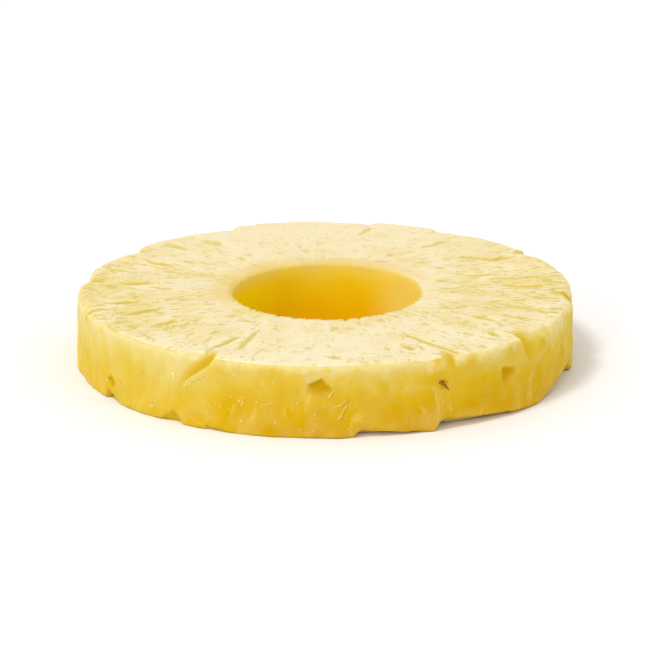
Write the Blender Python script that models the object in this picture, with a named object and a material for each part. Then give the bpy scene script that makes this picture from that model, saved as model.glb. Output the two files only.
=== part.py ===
"""Pineapple ring: one thick slice of a peeled and cored pineapple, lying on a cut face.

Metres, +Z up. The origin is the centre of the ring's box, on the lower cut face. The ring
is a turned section. Peeling leaves its outer wall a little uneven, and where the knife met
the hollows of the eyes the wall and both of its edges have bites out of them.
Angles are in degrees, anticlockwise from +X as seen from above, so the front is at -90.
"""

import math

import bmesh
import bpy

# Driving dimensions
OUTER_RADIUS = 0.0425
CORE_RADIUS = 0.0159
THICKNESS = 0.0127
UPPER_ROUND = 0.0011
LOWER_ROUND = 0.0004
CORE_ROUND = 0.0007
COLUMNS = 160
WALL_STEPS = 10

# How far in from the outer wall the cut faces follow a bite, and how steeply they slope to it
RIM_REACH = 0.006
RIM_SLOPE = 0.42

# Bites out of the wall's upper edge, where the knife cut across an eye. Each is deepest
# beside its steep side and runs out gently at the other, and the upper face slopes down to
# it: (steep side's angle, angle where it runs out, depth, height and slope's drop in mm,
# lean in degrees for each mm down the wall)
RIM_BITES = (
    (172.5, 160.0, 1.0, 5.0, 0.8, 0.4),
    (143.0, 157.0, 1.3, 6.0, 0.9, 0.5),
    (127.5, 134.0, 0.6, 3.0, 0.4, 0.0),
    (114.5, 131.0, 1.6, 7.0, 0.9, 0.6),
    (79.5, 92.0, 1.2, 5.5, 0.5, 0.5),
    (61.5, 50.0, 1.2, 6.5, 0.7, -0.5),
    (35.0, 28.0, 1.3, 5.0, 0.8, -0.4),
    (-1.0, -9.0, 0.9, 3.0, 0.6, 0.0),
    (-38.0, -25.0, 1.4, 5.5, 1.0, 0.3),
    (-60.0, -68.0, 0.7, 2.8, 0.5, 0.0),
    (-117.5, -125.5, 1.6, 6.5, 0.9, -1.3),
    (-163.0, -169.0, 0.5, 3.0, 0.2, 0.0),
)

# Bites out of the wall's lower edge, in the same form, and how far the lower face rises to
# them in place of the slope's drop
FOOT_BITES = (
    (-10.0, -32.0, 0.5, 1.6, 2.4, 0.0),
    (-61.5, -35.0, 0.4, 1.2, 2.0, 0.0),
    (-81.5, -62.5, 0.3, 0.9, 1.3, 0.0),
    (-118.0, -112.0, 0.6, 0.9, 0.0, 0.0),
    (-125.5, -131.5, 1.6, 2.2, 0.0, -0.8),
    (-151.0, -145.5, 1.2, 1.5, 0.4, 0.5),
    (162.0, 148.0, 1.3, 2.4, 0.8, -0.5),
    (121.0, 134.0, 1.7, 2.6, 1.2, 0.6),
    (95.0, 108.0, 1.4, 1.9, 0.6, 0.5),
    (62.0, 76.0, 1.9, 2.8, 1.3, 0.6),
    (38.0, 30.0, 1.3, 2.0, 0.8, -0.6),
    (12.0, 24.0, 1.5, 2.4, 1.0, 0.6),
)

# Eye hollows in the wall: each opens under a roof that falls from its top to both sides, and
# runs out below. (angle of the roof's top, its height as a share of the thickness, width and
# fall to the left, width and fall to the right, whole height and depth in mm)
EYE_HOLLOWS = (
    (-91.2, 0.81, 2.4, 1.2, 2.3, 2.4, 4.0, 0.45),
    (-62.7, 0.70, 0.7, 0.5, 0.9, 0.4, 2.4, 0.15),
    (-45.2, 0.66, 0.7, 0.1, 2.2, 0.3, 3.0, 0.5),
    (-148.0, 0.36, 1.5, 0.9, 1.3, 1.2, 2.6, 0.35),
    (5.0, 0.58, 1.8, 1.4, 1.5, 0.9, 3.2, 0.7),
    (48.0, 0.76, 2.0, 1.2, 1.8, 1.9, 3.8, 0.8),
    (76.0, 0.52, 1.5, 1.3, 1.7, 0.8, 3.2, 0.6),
    (102.0, 0.76, 1.8, 1.9, 2.1, 1.2, 3.8, 0.8),
    (133.0, 0.50, 1.7, 0.8, 1.5, 1.3, 3.0, 0.7),
    (165.0, 0.70, 1.7, 1.5, 1.8, 1.0, 3.4, 0.8),
)

# Slow unevenness of the peeled wall: (lobes round the ring, half its height in mm, phase)
WALL_WAVES = ((3, 0.16, 40.0), (5, 0.14, 115.0), (13, 0.10, 34.0))

# The steep side of a bite as a share of its width, the width of a hollow's edge in mm, how
# much crisper that is than the hollow's sides, and how far past them it would reach if it
# faded evenly, as a share of its width
STEEP_SHARE = 0.16
HOLLOW_EDGE = 0.3
SIDE_SHARE = 0.4
HOLLOW_ROUND = 1.6

# Flesh: colour as linear RGB
FLESH_COLOUR = (0.84, 0.63, 0.17, 1.0)
FLESH_ROUGHNESS = 0.3


def smooth(value):
    """0 below 0, 1 above 1 and an even S between."""
    value = min(max(value, 0.0), 1.0)
    return value * value * (3.0 - 2.0 * value)


def turn_between(angle, start):
    """The turn from start to angle, in degrees from -180 to 180."""
    return (angle - start + 180.0) % 360.0 - 180.0


def bite_share(angle, steep, runs_out):
    """How much of a bite's depth there is at an angle, from 0 to 1."""
    width = turn_between(runs_out, steep)
    along = turn_between(angle, steep) / width
    if along < 0.0:
        return smooth(1.0 + along / STEEP_SHARE)
    return max(1.0 - along, 0.0)


def bite_depth(angle, from_edge, bites, scooped):
    """The depth in metres that bites take off the wall, at a distance from their edge.

    A scooped bite ends at a crisp lip, and any other runs out to nothing.
    """
    deepest = 0.0
    down_mm = from_edge * 1000.0
    for steep, runs_out, depth_mm, height_mm, _, lean in bites:
        share = bite_share(angle - lean * down_mm, steep, runs_out)
        rise = min(down_mm / max(height_mm * share, 0.01), 1.0)
        fade = math.sqrt(1.0 - rise * rise) if scooped else (1.0 - rise) ** 1.2
        deepest = max(deepest, depth_mm / 1000.0 * share**0.6 * fade)
    return deepest


def hollow_depth(angle, height):
    """The depth in metres of the eye hollows at a place on the wall."""
    deepest = 0.0
    for centre, share, left, left_fall, right, right_fall, height_mm, depth_mm in EYE_HOLLOWS:
        below_top = (share * THICKNESS - height) * 1000.0
        across = math.radians(turn_between(angle, centre)) * OUTER_RADIUS * 1000.0
        aside = across / (left if across < 0.0 else right)
        fall = abs(aside) * (left_fall if across < 0.0 else right_fall)
        from_side = SIDE_SHARE * min(left + across, right - across)
        inside = smooth(min(below_top - fall, from_side) / HOLLOW_EDGE + 0.5)
        away = math.hypot(max(below_top, 0.0) / height_mm, aside / HOLLOW_ROUND)
        runs_out = 1.0 - smooth(1.7 * away - 0.7)
        deepest = max(deepest, depth_mm / 1000.0 * inside * runs_out)
    return deepest


def wall_inset(angle, height):
    """How far inside the nominal outer radius the wall stands, in metres."""
    waves = sum(
        size_mm / 1000.0 * (1.0 + math.sin(math.radians(lobes * angle + phase)))
        for lobes, size_mm, phase in WALL_WAVES
    )
    bites = max(
        bite_depth(angle, THICKNESS - height, RIM_BITES, scooped=False),
        bite_depth(angle, height, FOOT_BITES, scooped=True),
        hollow_depth(angle, height),
    )
    return waves + bites


def slope_to(bites, angle, radius):
    """How far a cut face leaves its plane to meet the bites, in metres."""
    run = RIM_SLOPE * max(OUTER_RADIUS - radius, 0.0)
    return max(
        max(drop_mm / 1000.0 * bite_share(angle, steep, runs_out) - run, 0.0)
        for steep, runs_out, _, _, drop_mm, _ in bites
    )


def corner(radius, height, turn_from, soft):
    """The middle of a rounded edge, as (radius, height)."""
    turn = math.radians(turn_from + 45.0)
    return [(radius + soft * math.cos(turn), height + soft * math.sin(turn))]


def section_points():
    """The ring's section as (radius, height), once round from the foot of the core wall."""
    inner, outer, top = CORE_RADIUS, OUTER_RADIUS, THICKNESS
    soft, foot, lip = UPPER_ROUND, LOWER_ROUND, CORE_ROUND
    lower_face = [(inner + foot, 0.0)]
    lower_face += [(outer - inset, 0.0) for inset in (RIM_REACH, 0.004, 0.002, foot)]
    wall_height = top - soft - foot
    wall = [(outer, foot + wall_height * step / WALL_STEPS) for step in range(WALL_STEPS + 1)]
    upper_face = [(outer - inset, top) for inset in (soft, 0.0025, 0.004, RIM_REACH)]
    upper_face += [(inner + lip, top)]
    core_wall = [(inner, top - lip), (inner, top / 2.0), (inner, foot)]
    return (
        lower_face
        + corner(outer - foot, foot, -90.0, foot)
        + wall
        + corner(outer - soft, top - soft, 0.0, soft)
        + upper_face
        + corner(inner + lip, top - lip, 90.0, lip)
        + core_wall
        + corner(inner + foot, foot, 180.0, foot)
    )


def turned_ring():
    """A bmesh of the plain ring: the section spun once round the Z axis and closed."""
    ring = bmesh.new()
    corners = [ring.verts.new((radius, 0.0, height)) for radius, height in section_points()]
    edges = [
        ring.edges.new((corners[index - 1], corners[index])) for index in range(len(corners))
    ]
    bmesh.ops.spin(
        ring,
        geom=corners + edges,
        cent=(0.0, 0.0, 0.0),
        axis=(0.0, 0.0, 1.0),
        angle=2.0 * math.pi,
        steps=COLUMNS,
        use_merge=True,
    )
    bmesh.ops.remove_doubles(ring, verts=ring.verts, dist=1e-6)
    bmesh.ops.recalc_face_normals(ring, faces=ring.faces)
    return ring


def peel(ring):
    """Moves the plain ring's points in to the peeled wall, with its bites and hollows."""
    for vertex in ring.verts:
        radius = math.hypot(vertex.co.x, vertex.co.y)
        angle = math.degrees(math.atan2(vertex.co.y, vertex.co.x))
        height = vertex.co.z
        follow = smooth((radius - OUTER_RADIUS + RIM_REACH) / RIM_REACH)
        peeled = radius - follow * wall_inset(angle, height)
        near_top = smooth(2.0 * height / THICKNESS - 1.0)
        near_foot = smooth(1.0 - 2.0 * height / THICKNESS)
        vertex.co.z -= near_top * slope_to(RIM_BITES, angle, radius)
        vertex.co.z += near_foot * slope_to(FOOT_BITES, angle, radius)
        vertex.co.x *= peeled / radius
        vertex.co.y *= peeled / radius


def centre(ring):
    """Shifts the ring so that the middle of its box stands on the origin's axis."""
    for axis in (0, 1):
        places = [vertex.co[axis] for vertex in ring.verts]
        middle = (min(places) + max(places)) / 2.0
        for vertex in ring.verts:
            vertex.co[axis] -= middle


def flesh():
    """Wet yellow pineapple flesh."""
    material = bpy.data.materials.new("pineapple flesh")
    material.use_nodes = True
    shader = material.node_tree.nodes["Principled BSDF"]
    shader.inputs["Base Color"].default_value = FLESH_COLOUR
    shader.inputs["Roughness"].default_value = FLESH_ROUGHNESS
    shader.inputs["Metallic"].default_value = 0.0
    return material


def add_ring():
    ring = turned_ring()
    peel(ring)
    centre(ring)
    mesh = bpy.data.meshes.new("pineapple_ring")
    ring.to_mesh(mesh)
    ring.free()
    mesh.shade_smooth()
    mesh.set_sharp_from_angle(angle=math.radians(35.0))
    mesh.materials.append(flesh())
    bpy.context.scene.collection.objects.link(bpy.data.objects.new("pineapple_ring", mesh))


for startup_object in list(bpy.data.objects):
    bpy.data.objects.remove(startup_object)
add_ring()
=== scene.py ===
"""Wet pineapple ring: the finished looks of one peeled and cored slice, lying on a pale table.

Metres, +Z up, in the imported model's frame. Angles are in degrees, anticlockwise from +X as
seen from above, so the front is at -90.
"""

import math

import bpy
import numpy as np
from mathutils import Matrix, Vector


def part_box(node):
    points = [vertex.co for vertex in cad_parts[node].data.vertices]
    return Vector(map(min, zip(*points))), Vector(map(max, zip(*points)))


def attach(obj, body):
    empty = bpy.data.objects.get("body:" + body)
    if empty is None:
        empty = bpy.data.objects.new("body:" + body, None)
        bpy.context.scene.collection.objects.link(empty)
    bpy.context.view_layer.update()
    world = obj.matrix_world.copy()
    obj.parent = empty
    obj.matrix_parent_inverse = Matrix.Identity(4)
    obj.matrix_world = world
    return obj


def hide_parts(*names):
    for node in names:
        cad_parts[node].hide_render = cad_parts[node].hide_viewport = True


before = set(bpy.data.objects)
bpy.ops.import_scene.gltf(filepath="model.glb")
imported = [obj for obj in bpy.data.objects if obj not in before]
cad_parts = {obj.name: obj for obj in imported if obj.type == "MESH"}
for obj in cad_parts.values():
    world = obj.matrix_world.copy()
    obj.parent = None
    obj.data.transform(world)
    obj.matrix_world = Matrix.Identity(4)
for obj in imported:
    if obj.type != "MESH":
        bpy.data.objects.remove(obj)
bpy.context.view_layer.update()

NODE = "pineapple_ring"
BODY = "root"
MM = 0.001

# Sizes, measured from the frame
LOW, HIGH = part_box(NODE)
THICKNESS = HIGH.z - LOW.z
NODE_RADII = [math.hypot(vertex.co.x, vertex.co.y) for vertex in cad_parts[NODE].data.vertices]
OUTER_RADIUS = max(NODE_RADII)
CORE_RADIUS = min(NODE_RADII)
MIDDLE = Vector((0.0, 0.0, LOW.z + THICKNESS / 2.0))

# The fine ring's mesh: columns round the ring, and rows on each stretch of its section
COLUMNS = 960
LOWER_FACE_ROWS = 9
CORNER_ROWS = 7
WALL_ROWS = 31
UPPER_FACE_ROWS = 31
CORE_WALL_ROWS = 9

# How much the outer edges are rounded, above and below, and the core hole's upper edge where
# it is crisp and where it is worn
UPPER_ROUND = 1.1 * MM
LOWER_ROUND = 0.4 * MM
CORE_ROUNDS = (0.45 * MM, 0.9 * MM)

# How far in from the outer wall the cut faces follow a bite, and how steeply the upper face
# slopes down to one
RIM_REACH = 6.0 * MM
RIM_SLOPE = 0.42

# Bites out of the wall's upper edge, where the knife cut across an eye. Each is deepest
# beside its steep side and runs out gently at the other, and the upper face slopes down to
# it: (steep side's angle, angle where it runs out, depth, height and slope's drop in mm,
# lean in degrees for each mm down the wall)
RIM_BITES = (
    (172.5, 160.0, 1.0, 5.0, 0.8, 0.4),
    (143.0, 157.0, 1.3, 6.0, 0.9, 0.5),
    (127.5, 134.0, 0.6, 3.0, 0.4, 0.0),
    (114.5, 131.0, 1.6, 7.0, 0.9, 0.6),
    (79.5, 92.0, 1.2, 5.5, 0.5, 0.5),
    (61.5, 50.0, 1.2, 6.5, 0.7, -0.5),
    (35.0, 28.0, 1.3, 5.0, 0.8, -0.4),
    (-1.0, -9.0, 0.9, 3.0, 0.6, 0.0),
    (-38.0, -25.0, 1.4, 5.5, 1.0, 0.3),
    (-60.0, -68.0, 0.7, 2.8, 0.5, 0.0),
    (-117.5, -125.5, 1.6, 6.5, 0.9, -1.3),
    (-163.0, -169.0, 0.5, 3.0, 0.2, 0.0),
)

# Bites out of the wall's lower edge, in the same form, and how far the lower face rises to
# them in place of the slope's drop
FOOT_BITES = (
    (-10.0, -32.0, 0.5, 1.6, 2.4, 0.0),
    (-61.5, -35.0, 0.4, 1.2, 2.0, 0.0),
    (-81.5, -62.5, 0.3, 0.9, 1.3, 0.0),
    (-118.0, -112.0, 0.6, 0.9, 0.0, 0.0),
    (-125.5, -131.5, 1.6, 2.2, 0.0, -0.8),
    (-151.0, -145.5, 1.2, 1.5, 0.4, 0.5),
    (162.0, 148.0, 1.3, 2.4, 0.8, -0.5),
    (121.0, 134.0, 1.7, 2.6, 1.2, 0.6),
    (95.0, 108.0, 1.4, 1.9, 0.6, 0.5),
    (62.0, 76.0, 1.9, 2.8, 1.3, 0.6),
    (38.0, 30.0, 1.3, 2.0, 0.8, -0.6),
    (12.0, 24.0, 1.5, 2.4, 1.0, 0.6),
)

# Eye hollows in the wall: each opens under a roof that falls from its top to both sides, and
# runs out below. (angle of the roof's top, its height as a share of the thickness, width and
# fall to the left, width and fall to the right, whole height and depth in mm)
EYE_HOLLOWS = (
    (-91.2, 0.81, 2.4, 1.2, 2.3, 2.4, 4.0, 0.45),
    (-62.7, 0.70, 0.7, 0.5, 0.9, 0.4, 2.4, 0.15),
    (-45.2, 0.66, 0.7, 0.1, 2.2, 0.3, 3.0, 0.5),
    (-148.0, 0.36, 1.5, 0.9, 1.3, 1.2, 2.6, 0.35),
    (5.0, 0.58, 1.8, 1.4, 1.5, 0.9, 3.2, 0.7),
    (48.0, 0.76, 2.0, 1.2, 1.8, 1.9, 3.8, 0.8),
    (76.0, 0.52, 1.5, 1.3, 1.7, 0.8, 3.2, 0.6),
    (102.0, 0.76, 1.8, 1.9, 2.1, 1.2, 3.8, 0.8),
    (133.0, 0.50, 1.7, 0.8, 1.5, 1.3, 3.0, 0.7),
    (165.0, 0.70, 1.7, 1.5, 1.8, 1.0, 3.4, 0.8),
)

# Slow unevenness of the peeled wall: (lobes round the ring, half its height in mm, phase)
WALL_WAVES = ((3, 0.16, 40.0), (5, 0.14, 115.0), (13, 0.10, 34.0))

# The steep side of a bite, as a share of its width, the width of a hollow's edge in mm, and
# how much crisper that is than the hollow's sides
STEEP_SHARE = 0.16
HOLLOW_EDGE = 0.3
SIDE_SHARE = 0.4

# How far past its sides a hollow would reach if it faded evenly, as a share of its width
HOLLOW_ROUND = 1.6

# How far a hollow's outline wanders to the sides, in mm
HOLLOW_WOBBLE = 0.12

# Where the upper face slopes down this far to a bite, it is as yellow as the wall
FULL_SLOPE = 0.8 * MM


def smooth(value):
    """0 below 0, 1 above 1 and an even S between."""
    value = np.clip(value, 0.0, 1.0)
    return value * value * (3.0 - 2.0 * value)


def turn_between(angle, start):
    """The turn from start to angle, in degrees from -180 to 180."""
    return (angle - start + 180.0) % 360.0 - 180.0


def bite_share(angle, steep, runs_out):
    """How much of a bite there is at an angle, from 0 to 1."""
    along = turn_between(angle, steep) / turn_between(runs_out, steep)
    return np.where(along < 0.0, smooth(1.0 + along / STEEP_SHARE), np.clip(1.0 - along, 0.0, 1.0))


def bites_depth(angle, from_edge, bites, scooped):
    """How deep bites go into the wall in metres, and how near a place is to a steep side.

    A scooped bite ends at a crisp lip, and any other runs out to nothing.
    """
    deepest = np.zeros(np.broadcast_shapes(angle.shape, from_edge.shape))
    nearest = np.zeros(deepest.shape)
    for steep, runs_out, depth_mm, height_mm, _, lean in bites:
        share = bite_share(angle - lean * from_edge / MM, steep, runs_out)
        rise = np.clip(from_edge / MM / np.maximum(height_mm * share, 0.01), 0.0, 1.0)
        fade = np.sqrt(1.0 - rise * rise) if scooped else (1.0 - rise) ** 1.2
        deepest = np.maximum(deepest, depth_mm * MM * share ** 0.6 * fade)
        nearest = np.maximum(nearest, smooth(2.6 * share - 1.5) * smooth(2.0 * (1.0 - rise)))
    return deepest, nearest


def hollows_share(angle, height, hollows):
    """How far open the eye hollows are, and how deep in metres: crisp under the roof."""
    openness = np.zeros(np.broadcast_shapes(angle.shape, height.shape))
    deepest = np.zeros(openness.shape)
    for centre, share, left, left_fall, right, right_fall, height_mm, depth_mm in hollows:
        below_top = (share * THICKNESS - height) / MM
        across = np.radians(turn_between(angle, centre)) * OUTER_RADIUS / MM
        across = across + HOLLOW_WOBBLE * np.sin(5.0 * below_top + centre)
        fall = np.where(across < 0.0, -across * left_fall / left, across * right_fall / right)
        from_side = SIDE_SHARE * np.minimum(left + across, right - across)
        from_edge = np.minimum(below_top - fall, from_side)
        inside = smooth(from_edge / HOLLOW_EDGE + 0.5)
        aside = across / np.where(across < 0.0, left, right)
        away = np.hypot(below_top.clip(0.0) / height_mm, aside / HOLLOW_ROUND)
        runs_out = 1.0 - smooth(1.7 * away - 0.7)
        openness = np.maximum(openness, inside * runs_out)
        deepest = np.maximum(deepest, depth_mm * MM * inside * runs_out)
    return openness, deepest


def slope_to(bites, angle, radius):
    """How far a cut face leaves its plane to meet the bites, in metres."""
    deepest = np.zeros(np.broadcast_shapes(angle.shape, radius.shape))
    for steep, runs_out, _, _, drop_mm, _ in bites:
        at_rim = drop_mm * MM * bite_share(angle, steep, runs_out)
        deepest = np.maximum(deepest, at_rim - RIM_SLOPE * np.maximum(OUTER_RADIUS - radius, 0.0))
    return deepest


def corner(radius, height, turn_from, soft):
    """Points on a rounded edge's quarter circle, between its ends, as (radius, height)."""
    turns = np.radians(turn_from + 90.0 * np.arange(1, CORNER_ROWS) / CORNER_ROWS)
    return [(radius + soft * math.cos(turn), height + soft * math.sin(turn)) for turn in turns]


def section_points(lip):
    """The ring's section as (radius, height), once round from the foot of the core wall.

    The lip is how much the core hole's upper edge is rounded.
    """
    inner, outer, top = CORE_RADIUS, OUTER_RADIUS, THICKNESS
    soft, foot = UPPER_ROUND, LOWER_ROUND
    lower_face = [(radius, 0.0) for radius in np.linspace(inner + foot, outer - foot, LOWER_FACE_ROWS)]
    wall = [(outer, height) for height in np.linspace(foot, top - soft, WALL_ROWS)]
    upper_face = [(radius, top) for radius in np.linspace(outer - soft, inner + lip, UPPER_FACE_ROWS)]
    core_wall = [(inner, height) for height in np.linspace(top - lip, foot, CORE_WALL_ROWS)]
    return np.array(
        lower_face
        + corner(outer - foot, foot, -90.0, foot)
        + wall
        + corner(outer - soft, top - soft, 0.0, soft)
        + upper_face
        + corner(inner + lip, top - lip, 90.0, lip)
        + core_wall
        + corner(inner + foot, foot, 180.0, foot)
    )


def fine_ring():
    """The ring's mesh with its bites and hollows, and how deep each point lies in one."""
    angle = (np.arange(COLUMNS) * 360.0 / COLUMNS)[:, None]
    turn = np.radians(angle)
    crisp, soft_lip = (section_points(lip)[None] for lip in CORE_ROUNDS)
    # The hole's upper edge is worn at the back and crisp at the front
    section = crisp + (soft_lip - crisp) * smooth(0.7 + 0.8 * np.sin(turn))[:, :, None]
    radius, height = section[:, :, 0], section[:, :, 1]
    waves = sum(
        size_mm * MM * (1.0 + np.sin(np.radians(lobes * angle + phase)))
        for lobes, size_mm, phase in WALL_WAVES
    )
    rim_carved, bitten = bites_depth(angle, THICKNESS - height, RIM_BITES, scooped=False)
    foot_carved, _ = bites_depth(angle, height, FOOT_BITES, scooped=True)
    openness, hollow_depth = hollows_share(angle, height, EYE_HOLLOWS)
    carved = np.maximum(np.maximum(rim_carved, foot_carved), hollow_depth)
    follow = smooth((radius - OUTER_RADIUS + RIM_REACH) / RIM_REACH)
    peeled = radius - follow * (waves + carved)
    near_top = smooth(2.0 * height / THICKNESS - 1.0)
    near_foot = smooth(1.0 - 2.0 * height / THICKNESS)
    slope = near_top * slope_to(RIM_BITES, angle, radius)
    moved = height - slope + near_foot * slope_to(FOOT_BITES, angle, radius)
    points = np.stack([peeled * np.cos(turn), peeled * np.sin(turn), moved], axis=2).reshape(-1, 3)
    rows = section.shape[1]
    column, row = np.meshgrid(np.arange(COLUMNS), np.arange(rows), indexing="ij")
    next_column, next_row = (column + 1) % COLUMNS, (row + 1) % rows
    left, right = column * rows, next_column * rows
    faces = np.stack([left + row, right + row, right + next_row, left + next_row], axis=2)
    mesh = bpy.data.meshes.new("fine ring")
    mesh.from_pydata(points.tolist(), [], faces.reshape(-1, 4).tolist())
    sloping = (slope / FULL_SLOPE).clip(0.0, 1.0)
    for name, values in (("opening", openness), ("bitten", bitten), ("sloping", sloping)):
        attribute = mesh.attributes.new(name, "FLOAT", "POINT")
        attribute.data.foreach_set("value", (follow * values).ravel())
    mesh.shade_smooth()
    return mesh


def linear(hex_colour):
    """A linear RGBA colour from an sRGB hex value."""
    channels = [int(hex_colour[start : start + 2], 16) / 255.0 for start in (1, 3, 5)]
    return [c / 12.92 if c <= 0.04045 else ((c + 0.055) / 1.055) ** 2.4 for c in channels] + [1.0]


def add(tree, kind, inputs=None, **settings):
    """Adds a node with its settings. Each input, by name or place, gets a value or a link."""
    node = tree.nodes.new(kind)
    for name, value in settings.items():
        setattr(node, name, value)
    for name, value in (inputs or {}).items():
        if isinstance(value, bpy.types.Node):
            value = next(socket for socket in value.outputs if socket.enabled)
        if isinstance(value, bpy.types.NodeSocket):
            tree.links.new(value, node.inputs[name])
        else:
            node.inputs[name].default_value = value
    return node


# Kinds of node, and their settings
MATH, VECTOR, NOISE = "ShaderNodeMath", "ShaderNodeVectorMath", "ShaderNodeTexNoise"
MIX, MAP_RANGE, JOIN_XYZ = "ShaderNodeMix", "ShaderNodeMapRange", "ShaderNodeCombineXYZ"
TIMES, PLUS, MINUS, OVER = ({"operation": name} for name in ("MULTIPLY", "ADD", "SUBTRACT", "DIVIDE"))
TIMES_PLUS = {"operation": "MULTIPLY_ADD"}
SOFT = {"interpolation_type": "SMOOTHSTEP"}
COLOURS = {"data_type": "RGBA"}


def new_object(name, data):
    """Puts a new object at the origin of the scene."""
    piece = bpy.data.objects.new(name, data)
    bpy.context.scene.collection.objects.link(piece)
    return piece


# Slits and pits where the knife opened the flesh between two fruitlets on the upper face:
# (angle and share of the outer radius at one end, the same at the other end, width in mm)
SLITS = (
    (125.0, 0.85, 125.0, 0.75, 1.5),
    (-14.0, 0.68, -18.0, 0.95, 0.5),
    (-62.0, 0.64, -58.0, 0.97, 0.6),
    (-169.0, 0.88, -168.0, 0.74, 1.0),
    (-158.0, 0.86, -160.0, 0.68, 1.3),
    (173.0, 0.82, 172.0, 0.68, 1.1),
    (-121.0, 0.88, -119.0, 0.68, 0.6),
    (-114.0, 0.83, -117.0, 0.58, 0.5),
    (-147.0, 0.78, -145.0, 0.70, 0.9),
    (41.0, 0.72, 32.0, 0.80, 0.9),
    (34.0, 0.78, 31.0, 0.86, 2.2),
    (80.0, 0.80, 78.0, 0.90, 0.7),
    (57.0, 0.72, 54.0, 0.84, 0.9),
    (20.0, 0.60, 18.0, 0.70, 0.9),
    (-5.0, 0.80, -7.0, 0.93, 0.7),
    (-66.0, 0.78, -67.0, 0.83, 1.0),
    (-88.0, 0.84, -88.0, 0.88, 1.2),
    (-30.0, 0.66, -31.0, 0.76, 0.6),
    (-40.0, 0.80, -42.0, 0.90, 0.5),
    (152.0, 0.70, 150.0, 0.82, 0.9),
    (135.0, 0.80, 134.0, 0.93, 0.9),
    (6.0, 0.72, 4.0, 0.86, 1.0),
)

# A slit narrower than this, in mm, is shallower
FULL_DEPTH_WIDTH = 0.6

# Points on each side of a slit's outline
SLIT_STEPS = 6


def slit_outlines():
    """A guide mesh: each slit's lens-shaped outline, flat on the upper face.

    The outline of a slit narrower than FULL_DEPTH_WIDTH floats above the face by the rest of
    it, which makes the slit shallower and its edge sharper.
    """
    points, faces = [], []
    for angle_a, share_a, angle_b, share_b, width_mm in SLITS:
        ends = [
            OUTER_RADIUS * share * Vector((math.cos(math.radians(angle)), math.sin(math.radians(angle)), 0.0))
            for angle, share in ((angle_a, share_a), (angle_b, share_b))
        ]
        along = ends[1] - ends[0]
        aside = along.normalized().cross(Vector((0.0, 0.0, 1.0))) * width_mm * MM / 2.0
        lift = Vector((0.0, 0.0, THICKNESS + max(FULL_DEPTH_WIDTH - width_mm, 0.0) * MM))
        start = len(points)
        for side in (1.0, -1.0):
            for step in range(SLIT_STEPS):
                share = step / SLIT_STEPS if side > 0.0 else 1.0 - step / SLIT_STEPS
                bow = side * math.sin(math.pi * share) ** 0.8 + 0.5 * math.sin(2.0 * math.pi * share)
                points.append(ends[0] + along * share + aside * bow + lift)
        faces.append(range(start, len(points)))
    mesh = bpy.data.meshes.new("slit outlines")
    mesh.from_pydata(points, [], faces)
    return new_object("slit outlines", mesh)


def new_tree(name, sockets):
    """A Geometry Nodes tree with a geometry in and out, and named inputs of each kind."""
    tree = bpy.data.node_groups.new(name, "GeometryNodeTree")
    tree.interface.new_socket("Geometry", in_out="INPUT", socket_type="NodeSocketGeometry")
    for kind, labels in sockets.items():
        for label in labels:
            tree.interface.new_socket(label, in_out="INPUT", socket_type="NodeSocket" + kind)
    tree.interface.new_socket("Geometry", in_out="OUTPUT", socket_type="NodeSocketGeometry")
    return tree


def run_tree(piece, tree, values):
    """Runs a tree on a piece with its inputs set, and keeps the result as a plain mesh."""
    modifier = piece.modifiers.new(tree.name, "NODES")
    modifier.node_group = tree
    for item in tree.interface.items_tree:
        if item.in_out == "INPUT" and item.name in values:
            modifier[item.identifier] = values[item.name]
    evaluated = piece.evaluated_get(bpy.context.evaluated_depsgraph_get())
    mesh = bpy.data.meshes.new_from_object(evaluated)
    piece.modifiers.remove(modifier)
    piece.data = mesh
    return piece


# How far from the core wall the cut faces follow its lumps, and how far the nicks in the
# hole's upper edge reach over the face and down the wall
CORE_REACH = 4.0 * MM
NICK_REACH = 1.2 * MM
NICK_DROP = 2.0 * MM


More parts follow.
